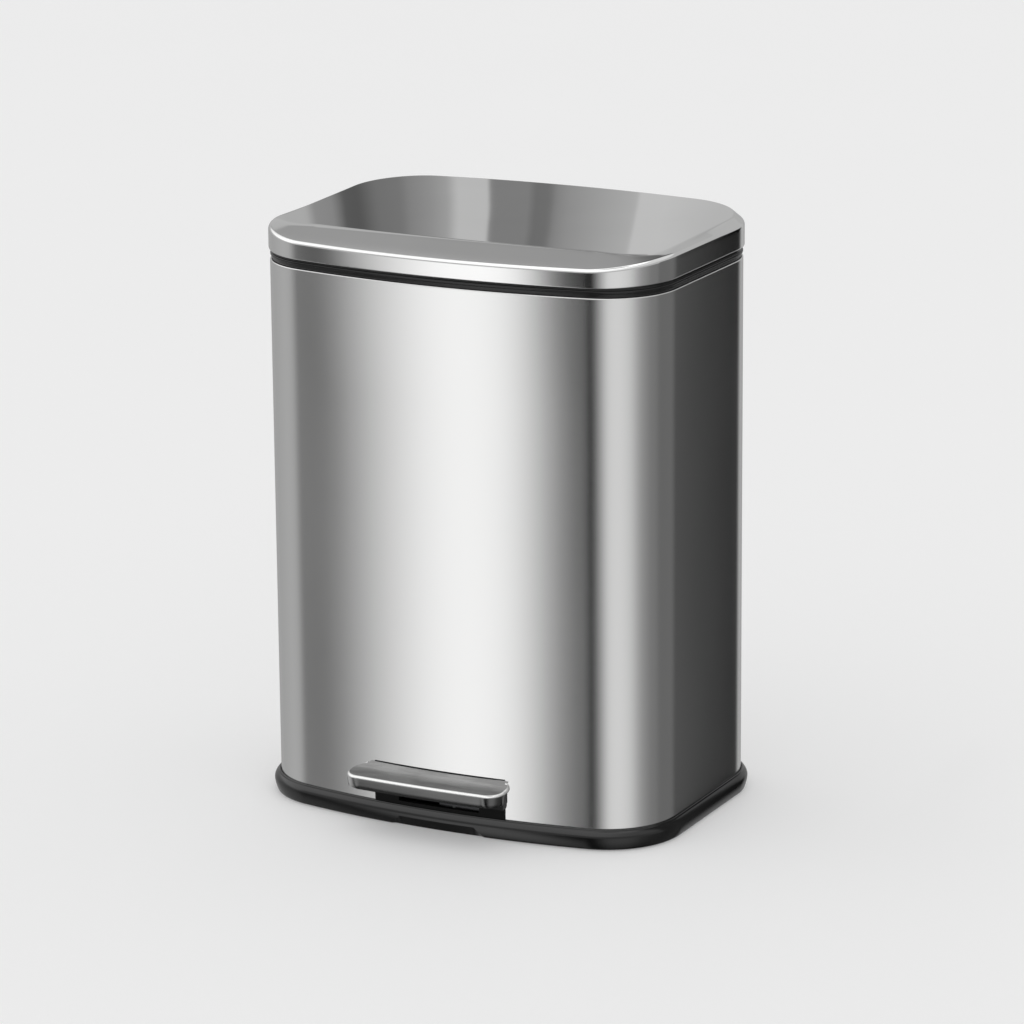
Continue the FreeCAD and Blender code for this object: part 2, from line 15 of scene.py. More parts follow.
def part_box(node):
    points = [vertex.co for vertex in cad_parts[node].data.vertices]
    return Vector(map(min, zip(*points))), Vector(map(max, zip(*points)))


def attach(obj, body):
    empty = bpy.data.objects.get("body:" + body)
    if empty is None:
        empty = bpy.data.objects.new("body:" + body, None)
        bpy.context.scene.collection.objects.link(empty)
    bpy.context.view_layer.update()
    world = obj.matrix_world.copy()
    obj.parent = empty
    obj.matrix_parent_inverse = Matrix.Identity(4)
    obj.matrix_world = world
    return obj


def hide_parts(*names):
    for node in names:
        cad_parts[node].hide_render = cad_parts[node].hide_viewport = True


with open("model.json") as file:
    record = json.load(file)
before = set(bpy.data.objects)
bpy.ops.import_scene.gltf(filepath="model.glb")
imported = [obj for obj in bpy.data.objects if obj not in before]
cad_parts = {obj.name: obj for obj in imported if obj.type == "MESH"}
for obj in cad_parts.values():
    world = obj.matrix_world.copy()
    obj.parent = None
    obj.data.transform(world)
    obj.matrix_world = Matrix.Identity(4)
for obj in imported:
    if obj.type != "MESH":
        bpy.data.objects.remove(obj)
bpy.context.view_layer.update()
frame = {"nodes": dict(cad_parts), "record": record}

MM = 0.001
shell_low, shell_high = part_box("outer_shell")


# ------------------------------------------------------------------------- camera
# A long lens about 3.7 m away, to the right of the pedal and a little above the lid,
# tipped half a degree, with the whole bin in the middle of the picture.

def place_camera(azimuth, elevation, roll, distance, aim, lens):
    """The camera looks at `aim` along the direction of the two angles, then rolls about it."""
    a, e, r = math.radians(azimuth), math.radians(elevation), math.radians(roll)
    back = Vector((math.sin(a) * math.cos(e), -math.cos(a) * math.cos(e), math.sin(e)))
    right = Vector((math.cos(a), math.sin(a), 0))
    up = back.cross(right)
    across = right * math.cos(r) + up * math.sin(r)
    upward = up * math.cos(r) - right * math.sin(r)
    camera = bpy.data.objects.new("camera", bpy.data.cameras.new("camera"))
    bpy.context.scene.collection.objects.link(camera)
    turn = Matrix((across, upward, back)).transposed().to_4x4()
    camera.matrix_world = Matrix.Translation(aim + back * distance) @ turn
    camera.data.lens = lens
    camera.data.clip_end = 50
    bpy.context.scene.camera = camera


place_camera(
    azimuth=27.17, elevation=15.13, roll=-0.49, distance=3.677,
    aim=Vector((0.0025, shell_low.y + 0.127, 0.2318)), lens=160.4,
)


# ------------------------------------------------------------------------- studio
# A pale floor and backdrop. What the metal mirrors is one tall softbox left of the pedal,
# a wider and dimmer one to the right, and dark flags between them. The lid mirrors narrow
# strips behind the bin, and folds and bevels mirror a softbox overhead.

class Signal:
    """One output of a node. Sums, differences and products of Signals add Math nodes."""

    def __init__(self, shop, socket):
        self.shop, self.socket = shop, socket

    def _math(self, operation, first, second):
        return self.shop.node("ShaderNodeMath", {"operation": operation}, {0: first, 1: second})

    def __add__(self, other): return self._math("ADD", self, other)
    def __sub__(self, other): return self._math("SUBTRACT", self, other)
    def __mul__(self, other): return self._math("MULTIPLY", self, other)
    def __rsub__(self, other): return self._math("SUBTRACT", other, self)
    def __rmul__(self, other): return self._math("MULTIPLY", other, self)

    def step(self, low, high):
        """0 below low, 1 above high, and a smooth rise between them."""
        settings = {"interpolation_type": "SMOOTHSTEP"}
        values = {"Value": self, "From Min": low, "From Max": high}
        return self.shop.node("ShaderNodeMapRange", settings, values)

    def towards(self, other, share):
        """This value at share 0, the other at share 1."""
        return self * (1 - share) + other * share


class Shop:
    """A node tree, with one method that adds any node to it, and short names for common ones."""

    def __init__(self, tree):
        self.tree = tree

    def node(self, kind, settings=None, values=None, output=0):
        """Add a node: its settings first, then values or links on its sockets."""
        made = self.tree.nodes.new(kind)
        for key, value in (settings or {}).items():
            if key == "stops":
                self.set_stops(made.color_ramp, value)
            else:
                setattr(made, key, value)
        for key, value in (values or {}).items():
            if isinstance(value, Signal):
                self.tree.links.new(value.socket, made.inputs[key])
            else:
                made.inputs[key].default_value = value
        return Signal(self, made.outputs[output]) if made.outputs else made

    @staticmethod
    def set_stops(ramp, stops):
        """Grey stops of a colour ramp, as (place, brightness) pairs."""
        ramp.interpolation = "LINEAR"
        for place, _ in stops[2:]:
            ramp.elements.new(place)
        for element, (place, grey) in zip(ramp.elements, sorted(stops)):
            element.position = place
            element.color = (grey, grey, grey, 1)

    def place(self, scale=(1, 1, 1)):
        """Object coordinates, stretched."""
        where = self.node("ShaderNodeTexCoord", output="Object")
        return self.node("ShaderNodeMapping", {}, {"Vector": where, "Scale": scale})

    def along(self, axis, vector=None):
        """One part, "X", "Y" or "Z", of a vector. Left out, the vector is the place."""
        vector = self.place() if vector is None else vector
        return self.node("ShaderNodeSeparateXYZ", {}, {0: vector}, axis)

    def noise(self, where, scale, detail=3.0, roughness=0.5):
        """Cloudy noise around 0.5. Each layer of detail is `roughness` times the one before."""
        values = {"Vector": where, "Scale": scale, "Detail": detail, "Roughness": roughness}
        return self.node("ShaderNodeTexNoise", {}, values)

    def bump(self, height, distance, strength):
        """A normal tilted by the slope of the height, which counts as `distance` metres."""
        values = {"Height": height, "Distance": distance, "Strength": strength}
        return self.node("ShaderNodeBump", {}, values)

    def mix(self, share, first, second):
        """A colour between two colours."""
        made = self.tree.nodes.new("ShaderNodeMix")
        made.data_type = "RGBA"
        sockets = [s for s in made.inputs if s.enabled and s.name in ("Factor", "A", "B")]
        for socket, value in zip(sockets, (share, first, second)):
            if isinstance(value, Signal):
                self.tree.links.new(value.socket, socket)
            else:
                socket.default_value = value
        return Signal(self, next(s for s in made.outputs if s.enabled))


def finish_called(name, surface):
    """A material with one Principled shader. surface(shop) gives what goes on its sockets."""
    material = bpy.data.materials.new(name)
    material.use_nodes = True
    shop = Shop(material.node_tree)
    shader = material.node_tree.nodes["Principled BSDF"]
    for socket, value in surface(shop).items():
        if isinstance(value, Signal):
            material.node_tree.links.new(value.socket, shader.inputs[socket])
        else:
            shader.inputs[socket].default_value = value
    return material


def spread_of_light(stops, first, last):
    """Stops of a ramp over azimuths from first to last, from (azimuth, light) pairs.

    Azimuth is in degrees from the pedal side towards the right, from -180 to 180. The ramp
    holds half of the light, because a ramp stops at 1.
    """
    return [((azimuth - first) / (last - first), light / 2) for azimuth, light in stops]


BODY_LIGHTS = [                 # at the level that upright walls mirror
    (-180, 0.42), (-150, 0.42), (-110, 0.40), (-78, 0.46), (-64, 0.44), (-56, 0.30), (-51, 0.17),
    (-48.5, 0.04), (-46, 0.0), (-44, 0.12), (-41.5, 0.40), (-37, 0.68), (-31, 1.00), (-27, 1.17),
    (-17, 1.22), (-14, 1.02), (-11.5, 0.54), (-10, 0.0), (4, 0.0), (12, 0.24), (28, 0.74),
    (44, 0.76), (60, 0.66), (76, 0.34), (94, 0.20), (114, 0.19), (134, 0.12), (146, 0.0),
    (160, 0.0), (165, 0.24), (170, 0.50), (180, 0.44),
]
LID_STRIPS = [                  # a narrow fan of strips behind the bin, for the top of the lid
    (-160, 0.46), (-156.5, 0.50), (-155.77, 0.51), (-154.9, 0.57), (-154.47, 0.57), (-154.43, 0.45),
    (-154.0, 0.39), (-153.41, 0.30), (-153.22, 0.25), (-153.12, 0.175), (-152.88, 0.168), (-152.82, 0.225),
    (-152.27, 0.22), (-152.23, 0.53), (-151.78, 0.53), (-151.64, 0.37), (-151.4, 0.30), (-151.1, 0.24),
    (-151.0, 0.195), (-150.66, 0.175), (-150.42, 0.10), (-150.22, 0.105), (-150.12, 0.20), (-150.04, 0.26),
    (-149.80, 0.28), (-149.68, 0.44), (-147, 0.46), (-145, 0.50),
]
HIGH_LIGHTS = [                 # higher up, for folds and bevels
    (-180, 0.40), (-170, 0.10), (-162, 0.10), (-156, 0.28), (-150, 0.34), (-132, 0.36),
    (-122, 1.00), (-90, 1.30), (20, 1.20), (60, 0.85), (110, 0.70), (150, 0.78), (172, 0.78),
    (180, 0.40),
]
ZENITH = 0.36                   # straight up, inside the softbox overhead
OVERHEAD = 1.35                 # a ring-shaped softbox just round the zenith
STRIP_LEAN = 14                 # degrees of azimuth that a strip would lean on its way to the zenith
SWATHE = (-140, -128, -62, -50)     # azimuths where the high lights reach lower: in and out, left of the bin
UNDERSIDE = 0.3                 # share of the light that comes from right below
BACKDROP = 0.815                # what the camera sees behind the floor
FILL = 0.90                     # what lights the surfaces that aren't metal


def light_studio():
    """Light by direction: three rings of azimuth, one over another, and a softbox overhead.

    Only glossy rays see it. Other rays see a plain backdrop or a plain fill.
    """
    world = bpy.data.worlds.new("studio")
    bpy.context.scene.world = world
    world.use_nodes = True
    world.node_tree.nodes.clear()
    shop = Shop(world.node_tree)
    direction = shop.node("ShaderNodeTexCoord", output="Generated")
    split = shop.node("ShaderNodeSeparateXYZ", {}, {0: direction})
    x, y, z = (Signal(shop, socket) for socket in split.socket.node.outputs)
    azimuth = shop.node("ShaderNodeMath", {"operation": "ARCTAN2"}, {0: x, 1: 0 - y}) * (180 / math.pi)

    def ring(stops, at, first=-180, last=180):
        place = (at - first) * (1 / (last - first))
        spread = {"stops": spread_of_light(stops, first, last)}
        return shop.node("ShaderNodeValToRGB", spread, {0: place}) * 2.0

    high = ring(HIGH_LIGHTS, azimuth)
    behind = ring(LID_STRIPS, azimuth + (z - 0.25) * STRIP_LEAN, -160, -145)
    swathe = azimuth.step(*SWATHE[:2]) * azimuth.step(*SWATHE[:1:-1])
    glow = ring(BODY_LIGHTS, azimuth).towards(behind, z.step(0.02, 0.12))
    glow = glow.towards(high, z.step(0.46, 0.54)).towards(high, swathe * z.step(0.20, 0.34))
    glow = glow.towards(OVERHEAD, z.step(0.86, 0.92)).towards(ZENITH, z.step(0.975, 0.99))
    glow = glow * (z.step(-0.90, -0.60) * (1 - UNDERSIDE) + UNDERSIDE)
    glossy = shop.node("ShaderNodeLightPath", output="Is Glossy Ray")
    seen = shop.node("ShaderNodeLightPath", output="Is Camera Ray")
    plain = (seen * BACKDROP + (1 - seen) * FILL) * (1 - glossy)
    strength = glow * glossy + plain
    background = shop.node("ShaderNodeBackground", {}, {"Color": (1, 1, 1, 1), "Strength": strength})
    shop.node("ShaderNodeOutputWorld", {}, {"Surface": background})


def stand_stage(name, corners, material):
    """One flat face that isn't part of the bin, and that the metal doesn't mirror."""
    mesh = bpy.data.meshes.new(name)
    mesh.from_pydata(corners, [], [list(range(len(corners)))])
    mesh.materials.append(material)
    stage = bpy.data.objects.new(name, mesh)
    bpy.context.scene.collection.objects.link(stage)
    stage.visible_glossy = False
    return stage


def pale_paper(shop):
    """Matt paper with a faint grain, that glows a little so that it nears the backdrop."""
    grain = shop.noise(shop.place(), 3.0)
    return {
        "Base Color": (0.68, 0.68, 0.68, 1),
        "Roughness": grain * 0.1 + 0.45,
        "Specular IOR Level": 0.04,
        "Emission Color": (1, 1, 1, 1),
        "Emission Strength": 0.24,
    }


def dim_card(shop):
    """A dim card that fades out to the back, for the right side of the body."""
    light = shop.mix(shop.along("Y").step(0.08, 0.26), (0.135, 0.135, 0.135, 1), (0.0, 0.0, 0.0, 1))
    return {"Base Color": (0, 0, 0, 1), "Emission Color": light, "Emission Strength": 1.0}


bpy.context.scene.view_settings.view_transform = "Standard"
light_studio()
FLOOR_RADIUS = 12
rim_of_floor = np.linspace(0, 2 * np.pi, 96, endpoint=False)
floor_ring = np.column_stack([np.cos(rim_of_floor), np.sin(rim_of_floor), np.zeros(96)]) * FLOOR_RADIUS
stand_stage("floor", floor_ring.tolist(), finish_called("pale_paper", pale_paper))
CARD_X = 0.30
card_corners = [(CARD_X, -0.02, -0.4), (CARD_X, -0.02, 0.5), (CARD_X, 0.30, 0.5), (CARD_X, 0.30, -0.4)]
card = stand_stage("card", card_corners, finish_called("card_light", dim_card))
card.visible_glossy = True
card.visible_camera = card.visible_diffuse = card.visible_shadow = card.visible_transmission = False


# ------------------------------------------------------------------------- base
# The base is one moulding in black plastic: a bumper ring with a thin lip along its top,
# a groove that holds the steel body, and a floor. A finger notch is cut under the pedal.

BOW = 693 * MM
FRONT_CORNER = 59.5 * MM
REAR_CORNER = 58 * MM
CORNER_STEPS = 32
SIDE_STEPS = 12


def bin_outline(extra=()):
    """Points and outward normals round the body, anticlockwise from the left end of the bow.

    Each arc is centre + radius * (sin a, -cos a), with the angle a measured from the front.
    The straight sides and back join the arcs. extra holds x values that the bow must touch.
    The front half and the back half have the same number of points.
    """
    half, front, back = shell_high.x, shell_low.y, shell_high.y
    bow_y = front + BOW
    corner_x = half - FRONT_CORNER
    corner_y = bow_y - math.sqrt((BOW - FRONT_CORNER) ** 2 - corner_x ** 2)
    turn = math.atan2(corner_x, bow_y - corner_y)
    quarter = math.pi / 2
    bow_x = np.union1d(np.linspace(-1, 1, 81) * BOW * math.sin(turn), np.array(extra))

    def arc(x, y, radius, angles):
        normal = np.column_stack([np.sin(angles), -np.cos(angles)])
        return np.array([x, y]) + radius * normal, normal

    def corner(x, y, radius, first, last):
        return arc(x, y, radius, np.linspace(first, last, CORNER_STEPS + 1))

    def run(a, b, normal, steps):
        share = np.linspace(0, 1, steps + 2)[1:-1, None]
        return a[-1] * (1 - share) + b[0] * share, np.tile(normal, (steps, 1))

    rear_x, rear_y = half - REAR_CORNER, back - REAR_CORNER
    bow = arc(0, bow_y, BOW, np.arcsin(bow_x / BOW))
    front_right = [part[1:] for part in corner(corner_x, corner_y, FRONT_CORNER, turn, quarter)]
    rear_right = corner(rear_x, rear_y, REAR_CORNER, quarter, 2 * quarter)
    rear_left = corner(-rear_x, rear_y, REAR_CORNER, 2 * quarter, 3 * quarter)
    front_left = corner(-corner_x, corner_y, FRONT_CORNER, 3 * quarter, 4 * quarter - turn)
    front_left = [part[:-1] for part in front_left]
    stretches = [
        bow, front_right, run(front_right[0], rear_right[0], (1, 0), SIDE_STEPS),
        rear_right, run(rear_right[0], rear_left[0], (0, 1), len(bow_x) - 2),
        rear_left, run(rear_left[0], front_left[0], (-1, 0), SIDE_STEPS), front_left,
    ]
    return np.concatenate([s[0] for s in stretches]), np.concatenate([s[1] for s in stretches])


def carry(points, normals, outset, height):
    """Grid of rows round an outline: each row is the outline moved out by outset, at height.

    outset and height have one value per row, or one per row and point.
    """
    outset, height = (np.asarray(a, float) for a in (outset, height))
    outset, height = (a[:, None] if a.ndim == 1 else a for a in (outset, height))
    shape = (max(len(outset), len(height)), len(points))
    plan = points[None] + normals[None] * np.broadcast_to(outset, shape)[..., None]
    return np.dstack([plan, np.broadcast_to(height, shape)])


def strips(rows, columns, loop=False, ring=True):
    """Quads between neighbouring rows of a grid. ring closes the columns, loop the rows."""
    row = np.arange(rows if loop else rows - 1)[:, None]
    column = np.arange(columns if ring else columns - 1)[None]
    above, beside = (row + 1) % rows, (column + 1) % columns
    corners = [
        row * columns + column, row * columns + beside,
        above * columns + beside, above * columns + column,
    ]
    return np.dstack(np.broadcast_arrays(*corners))


def fill_across(ring):
    """Grid over the inside of a closed row, by the Coons rule.

    The row is split at the middles of its corners into a front, a right, a back and a left
    edge. A point is its place between front and back, plus its place between left and
    right, less its place between the four ends.
    """
    start = np.roll(ring, CORNER_STEPS // 2, axis=0)
    deep = CORNER_STEPS + SIDE_STEPS + 2
    wide = len(ring) // 2 - deep + 2
    front, back = start[:wide], start[wide + deep - 2:2 * wide + deep - 2][::-1]
    right = start[wide - 1:wide + deep - 1, None]
    left = np.concatenate([start[2 * wide + deep - 3:], start[:1]])[::-1, None]
    u, v = np.linspace(0, 1, wide)[None, :, None], np.linspace(0, 1, deep)[:, None, None]
    ends = (1 - v) * ((1 - u) * front[0] + u * front[-1]) + v * ((1 - u) * back[0] + u * back[-1])
    return (1 - v) * front + v * back + (1 - u) * left + u * right - ends


def join(*parts):
    """One vertex array and one list of faces from several (vertices, faces) pairs."""
    vertices, faces, count = [], [], 0
    for grid, quads in parts:
        grid = np.asarray(grid).reshape(-1, 3)
        vertices.append(grid)
        faces.append(np.asarray(quads).reshape(-1, 4) + count)
        count += len(grid)
    return np.concatenate(vertices), np.concatenate(faces)


def make_piece(name, vertices, faces, material, body, slot, replaced, sharp=40):
    """A smooth-shaded mesh object that rides on a body and stands for CAD nodes."""
    mesh = bpy.data.meshes.new(name)
    vertices, faces = np.asarray(vertices).reshape(-1, 3), np.asarray(faces).reshape(-1, 4)
    mesh.from_pydata(vertices.tolist(), [], faces.tolist())
    clean = bmesh.new()
    clean.from_mesh(mesh)
    bmesh.ops.remove_doubles(clean, verts=clean.verts, dist=1e-6)
    clean.to_mesh(mesh)
    clean.free()
    mesh.polygons.foreach_set("use_smooth", [True] * len(mesh.polygons))
    mesh.set_sharp_from_angle(angle=math.radians(sharp))
    mesh.materials.append(material)
    piece = bpy.data.objects.new(name, mesh)
    bpy.context.scene.collection.objects.link(piece)
    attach(piece, body)
    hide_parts(*replaced)
    return piece


def moulded(name, grey, rough, grain, scale, wear, shine=0.3):
    """Moulding: a spark texture in the bump, cloudy gloss, and a little dust and scuffing.

    Sparks are `grain` metres deep, and finer at a larger scale. Scuffs are paler by `wear`.
    """
    def surface(shop):
        sparks = shop.noise(shop.place(), scale, 2.0, 0.6)
        cloud = shop.noise(shop.place(), 22.0, 4.0)
        scuff = shop.noise(shop.place((1, 1, 6)), 60.0, 5.0, 0.7).step(0.60, 0.72)
        dark = (grey * 0.85, grey * 0.85, grey * 0.87, 1)
        dusty = (grey * 1.25 + 0.001, grey * 1.25 + 0.001, grey * 1.25 + 0.001, 1)
        worn = (grey + wear, grey + wear, grey + wear, 1)
        return {
            "Base Color": shop.mix(scuff, shop.mix(cloud, dark, dusty), worn),
            "Roughness": cloud * 0.08 + sparks * 0.05 + (rough - 0.06),
            "Specular IOR Level": shine,
            "Normal": shop.bump(sparks, grain, 0.6),
        }
    return finish_called(name, surface)


NOTCH_TOP_HALF = 33 * MM
NOTCH_HALF = 41 * MM
NOTCH_TOP = 9 * MM
RECESS_LEAN = np.array([1.2, 4.4]) * MM     # outset of the notch's wall, at the floor and at its roof
SLOT_RELIEF = 64.5 * MM


def mould_base():
    """Section up the bumper, over its lip, down the groove, and up and over the inner collar.

    Under the pedal, rows below the notch's roof are lifted to it, over a wall that leans in.
    """
    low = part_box("base")[0].z
    outside = np.array([
        (2.8, 1.0), (3.4, 1.4), (3.9, 2.6), (4.4, 4.2), (4.9, 6.0), (5.3, 8.0), (5.5, 9.8), (5.4, 11.0),
        (5.0, 12.2), (4.5, 13.1), (3.9, 14.0), (3.1, 14.9), (2.4, 15.5), (2.0, 15.8), (1.85, 16.2),
        (1.7, 16.7), (1.35, 16.95), (0.9, 17.0), (0.5, 16.9), (0.2, 15.6),
    ]) * MM
    inside = np.array([
        (0.2, 9.0), (-0.8, 9.0), (-0.8, 33.4), (-1.4, 34.0), (-2.4, 34.0), (-3.0, 33.4), (-3.0, 5.0),
    ]) * MM
    edges = (-SLOT_RELIEF - 0.1 * MM, -SLOT_RELIEF, -NOTCH_HALF, -38 * MM, -35.5 * MM, -NOTCH_TOP_HALF)
    points, normals = bin_outline(edges + tuple(-e for e in edges))
    x = points[:, 0]
    at_front = points[:, 1] < 0
    rise = (NOTCH_HALF - np.abs(x)) / (NOTCH_HALF - NOTCH_TOP_HALF)
    roof = np.where(at_front, np.clip(rise, 0, 1), 0) * (NOTCH_TOP - low) + low
    heights = np.maximum(outside[:, 1:], roof[None])
    outsets = np.interp(heights, outside[:12, 1], outside[:12, 0])
    outsets[12:] = outside[12:, :1]
    recess = (roof > low) * 1.0
    wall = RECESS_LEAN[:, None] * recess + (outsets[0] - 0.4 * MM)[None] * (1 - recess)
    wall_z = np.stack([np.full_like(roof, low), roof])
    relief = at_front & (np.abs(x) < SLOT_RELIEF + 0.05 * MM)
    collar_z = np.where(relief[None], np.minimum(inside[:, 1:], 16.5 * MM), inside[:, 1:])
    inner = np.broadcast_to(inside[:, :1], collar_z.shape)
    under = np.full((1, len(x)), -7.0 * MM)
    under_z = np.full((1, len(x)), low + 1.5 * MM)
    outset = np.concatenate([under, under, wall, outsets, inner])
    height = np.concatenate([under_z, under_z - 1.5 * MM, wall_z, heights, collar_z])
    grid = carry(points, normals, outset, height)
    plates = []
    for ring, flip in ((grid[-1], False), (grid[0], True)):
        plate = fill_across(ring)
        quads = strips(*plate.shape[:2], ring=False)
        plates.append((plate, quads[..., ::-1] if flip else quads))
    return join((grid, strips(*grid.shape[:2])), *plates)


gloss_black = moulded("gloss_black_plastic", 0.003, 0.20, 0.000002, 700.0, 0.014, 0.62)
make_piece("base_moulding", *mould_base(), gloss_black, "can", "base_plastic", ["base"])


# ------------------------------------------------------------------------- outer shell
# One sheet of satin stainless steel, bent round and welded at the back, with a rolled hem
# at its mouth and a cut-out for the pedal. It drops into the groove of the base.

SLOT_HALF = 58.5 * MM
SLOT_TOP = 49.7 * MM
SEAM_X = 62 * MM
SEAM_WIDTH = 1.6 * MM
SEAM_HEIGHT = 0.25 * MM


def roll_shell():
    """Closed section: up the outside, over a half-round hem, and down the inside.

    The weld is a bell curve across the back, and the columns of the cut-out are left open.
    """
    wall, hem = 0.6 * MM, 1.0 * MM
    low, top = shell_low.z, shell_high.z
    roll = np.linspace(0, math.pi, 13)
    outset = [0, 0, 0, 0, *(-hem + hem * np.cos(roll)), -2 * hem, -wall, -wall, -wall, -wall, -wall]
    heights = [low, SLOT_TOP, 0.2, 0.35, *(top - hem + hem * np.sin(roll)), top - 2 * hem, top - 2.6 * hem]
    heights += [0.35, 0.2, SLOT_TOP, low]
    points, normals = bin_outline((-SLOT_HALF, SLOT_HALF))
    seam = np.exp(-((points[:, 0] - SEAM_X) / SEAM_WIDTH) ** 2) * (normals[:, 1] > 0.99)
    grid = carry(points, normals, outset, heights)
    grid[..., 1] += seam * SEAM_HEIGHT
    rows, columns = grid.shape[:2]
    quads = strips(rows, columns, loop=True)
    middle = (points[:, 0] + np.roll(points[:, 0], -1)) / 2
    open_column = (np.abs(middle) < SLOT_HALF) & (points[:, 1] < 0)
    open_row = np.isin(np.arange(rows), (0, rows - 2, rows - 1))
    kept = quads[~(open_row[:, None] & open_column[None])]
    slot = np.flatnonzero(open_column)
    after = (slot + 1) % columns
    inner = (rows - 2) * columns
    lintel = np.column_stack([inner + slot, inner + after, columns + after, columns + slot])
    left, right = slot[0], after[-1]
    jambs = [[columns + left, inner + left, inner + columns + left, left],
             [right, inner + columns + right, inner + right, columns + right]]
    return grid, np.concatenate([kept, lintel, jambs])


def satin_sheet(shop):
    """Fine level scratches in the bump and the gloss, and a faint cloudiness."""
    scratches = shop.noise(shop.place((1.2, 1.2, 90)), 60.0, 4.0, 0.65)
    cloud = shop.noise(shop.place((1, 1, 0.35)), 9.0, 2.0)
    return {
        "Base Color": shop.mix(cloud * 0.6 + scratches * 0.4, (0.79, 0.79, 0.785, 1), (0.87, 0.87, 0.865, 1)),
        "Metallic": 1.0,
        "Roughness": scratches * 0.05 + cloud * 0.03 + 0.155,
        "Anisotropic": 0.5,
        "Normal": shop.bump(scratches, 0.00001, 0.3),
    }


satin_steel = finish_called("satin_steel", satin_sheet)
make_piece("steel_shell", *roll_shell(), satin_steel, "can", "shell_steel", ["outer_shell"])


# ------------------------------------------------------------------------- pedal
# The tread is a D of pressed steel with a skirt round its front and front corners. It is
# screwed over a black plastic core, and slopes down three degrees to its front edge.

PEDAL_TILT = math.tan(math.radians(3.2))
PEDAL_TOP = 49.5 * MM
PEDAL_SKIRT = 10.3 * MM
PEDAL_FILLET = 2.4 * MM
PEDAL_OVERHANG = 2.5 * MM       # past the ends of the core
SKIRT_START = 21 * MM           # the skirt runs round the tread from here forward
pedal_low, pedal_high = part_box("pedal_plate")


def arc_through(first, middle, last, steps):
    """Points of the circular arc from first through middle to last, its end left out."""
    a, b, c = (np.array(p, float) for p in (first, middle, last))
    rows = np.array([b - a, c - a]) * 2
    centre = np.linalg.solve(rows, [b @ b - a @ a, c @ c - a @ a])
    angles = [math.atan2(*(p - centre)[::-1]) for p in (a, b, c)]
    sweep = (angles[2] - angles[0]) % (2 * math.pi)
    if (angles[1] - angles[0]) % (2 * math.pi) > sweep:
        sweep -= 2 * math.pi
    turn = angles[0] + np.linspace(0, sweep, steps + 1)[:-1]
    return centre + np.hypot(*(a - centre)) * np.column_stack([np.cos(turn), np.sin(turn)])


def press_pedal():
    """Rows up the skirt and over a fillet, then straight lines back to the shell."""
    front, half = shell_low.y, pedal_high.x + PEDAL_OVERHANG
    # The right half of the tread's plan, from its rear corner round to the middle of its front.
    rear, flare = (63.6 * MM, front - 1.5 * MM), (half - 1 * MM, front - 10 * MM)
    side = (half, front - 18 * MM)
    skirt_end = (half, front - 18.05 * MM)
    knee = (half - 3.4 * MM, front - 29.9 * MM)
    toe, apex = (half - 14.5 * MM, front - 34 * MM), (0, pedal_low.y)
    flip = np.array([-1, 1])
    edge = np.concatenate([
        arc_through(flip * rear, flip * flare, flip * side, 16),
        arc_through(flip * skirt_end, flip * knee, flip * toe, 40),
        arc_through(flip * toe, apex, toe, 60),
        arc_through(toe, knee, skirt_end, 40), [skirt_end],
        arc_through(side, flare, rear, 16), [rear],
    ])
    along = np.gradient(edge, axis=0)
    along /= np.linalg.norm(along, axis=1)[:, None]
    normals = np.column_stack([along[:, 1], -along[:, 0]])
    skirted = edge[:, 1] < front - SKIRT_START
    turn = np.linspace(0, math.pi / 2, 9)
    skirt_in = np.array([1.2, 0.9, 0.5, 0.2]) * MM
    skirt_drop = [PEDAL_SKIRT, PEDAL_SKIRT - 0.3 * MM, 7 * MM, 4.5 * MM]
    inset = np.concatenate([skirt_in, PEDAL_FILLET * (1 - np.cos(turn))])
    drop = np.concatenate([skirt_drop, PEDAL_FILLET * (1 - np.sin(turn))])
    drop = np.where(skirted[None], drop[:, None], np.minimum(drop[:, None], PEDAL_FILLET + 0.3 * MM))
    grid = carry(edge, normals, -inset, -drop)
    length = np.concatenate([[0], np.cumsum(np.linalg.norm(np.diff(edge, axis=0), axis=1))])
    rear_x = (rear[0] - PEDAL_FILLET) * (2 * length / length[-1] - 1)
    gap = BOW + 0.5 * MM
    rear_y = front + BOW - np.sqrt(gap ** 2 - rear_x ** 2)
    rear_edge = np.column_stack([rear_x, rear_y, np.zeros(len(edge))])
    share = np.linspace(0, 1, 25)[1:, None, None]
    grid = np.concatenate([grid, grid[-1] * (1 - share) + rear_edge * share])
    grid[..., 2] += PEDAL_TOP + PEDAL_TILT * (grid[..., 1] - front)
    return grid, strips(*grid.shape[:2], ring=False)


